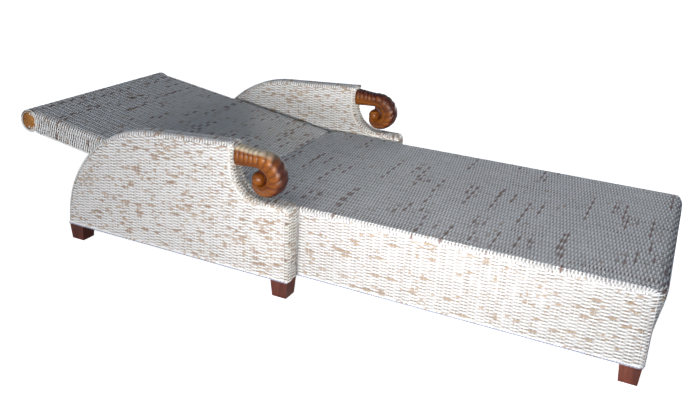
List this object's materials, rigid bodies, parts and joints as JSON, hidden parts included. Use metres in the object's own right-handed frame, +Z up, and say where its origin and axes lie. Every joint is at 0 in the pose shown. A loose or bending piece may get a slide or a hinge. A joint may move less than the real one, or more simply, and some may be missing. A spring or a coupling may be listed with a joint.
{
  "type": "rattan lounger",
  "caption": "Woven rattan lounger with two scroll-ended arm panels, six tapered feet and a hinged backrest held up by a stay on notched racks.",
  "frame": {"origin": "on the floor, below the middle of the overall length and width", "axes": "+X towards the foot end, +Y towards the sitter's left, +Z up"},
  "size_m": [2.1013, 0.87, 0.455],
  "materials": {
    "weave": "whitewashed woven cane, satin",
    "frame_pole": "bare rattan pole, satin",
    "foot": "stained and varnished, semi-gloss",
    "scroll": "carved, stained and varnished, glossy",
    "head_pole": "turned pole, cut ends lightly varnished",
    "hardware": "zinc plated, dull"
  },
  "bodies": {
    "base": {"leg_foot_left": "foot", "leg_foot_right": "foot", "leg_mid_left": "foot", "leg_mid_right": "foot", "leg_rear_left": "foot", "leg_rear_right": "foot", "deck_rail_left": "frame_pole", "deck_rail_right": "frame_pole", "sill_left": "frame_pole", "sill_right": "frame_pole", "foot_rail": "frame_pole", "foot_sill": "frame_pole", "mid_sill": "frame_pole", "mid_beam": "frame_pole", "hinge_beam": "frame_pole", "hinge_rail": "frame_pole", "rear_sill": "frame_pole", "back_stop_rail": "frame_pole", "deck_cross_poles": "frame_pole", "arm_sill_left": "frame_pole", "arm_sill_right": "frame_pole", "arm_stiles_left": "frame_pole", "arm_stiles_right": "frame_pole", "arm_hoop_left": "frame_pole", "arm_hoop_right": "frame_pole", "arm_bend_left": "frame_pole", "arm_bend_right": "frame_pole", "rack_beams": "frame_pole", "rack_left": "frame_pole", "rack_right": "frame_pole", "rack_screws": "hardware", "deck_weave": "weave", "skirt_left": "weave", "skirt_right": "weave", "skirt_foot": "weave", "rear_apron": "weave", "arm_weave_left": "weave", "arm_weave_right": "weave", "scroll_left": "scroll", "scroll_right": "scroll", "hinge_fixed_leaves": "hardware", "hinge_pins": "hardware", "hinge_screws_deck": "hardware"},
    "backrest": {"back_front_rail": "frame_pole", "back_board_left": "frame_pole", "back_board_right": "frame_pole", "back_cross_poles": "frame_pole", "back_head_pole": "head_pole", "back_weave": "weave", "hinge_moving_leaves": "hardware", "hinge_screws_back": "hardware", "stay_bolts": "hardware"},
    "stay": {"stay_arm_left": "frame_pole", "stay_arm_right": "frame_pole", "stay_foot_bar": "frame_pole"}
  },
  "joints": [
    {"name": "back_recline", "type": "hinge", "parent": "base", "child": "backrest", "pos_m": [-0.20834, 0, 0.269], "axis": [0, 1, 0], "range_deg": [0, 47]},
    {"name": "stay_swing", "type": "hinge", "parent": "backrest", "child": "stay", "pos_m": [-0.44245, 0, 0.25808], "axis": [0, 1, 0], "range_deg": [-90, 0]}
  ],
  "couplings": [
    {"joint": "stay_swing", "follows": "back_recline", "ratio": -1.88}
  ]
}
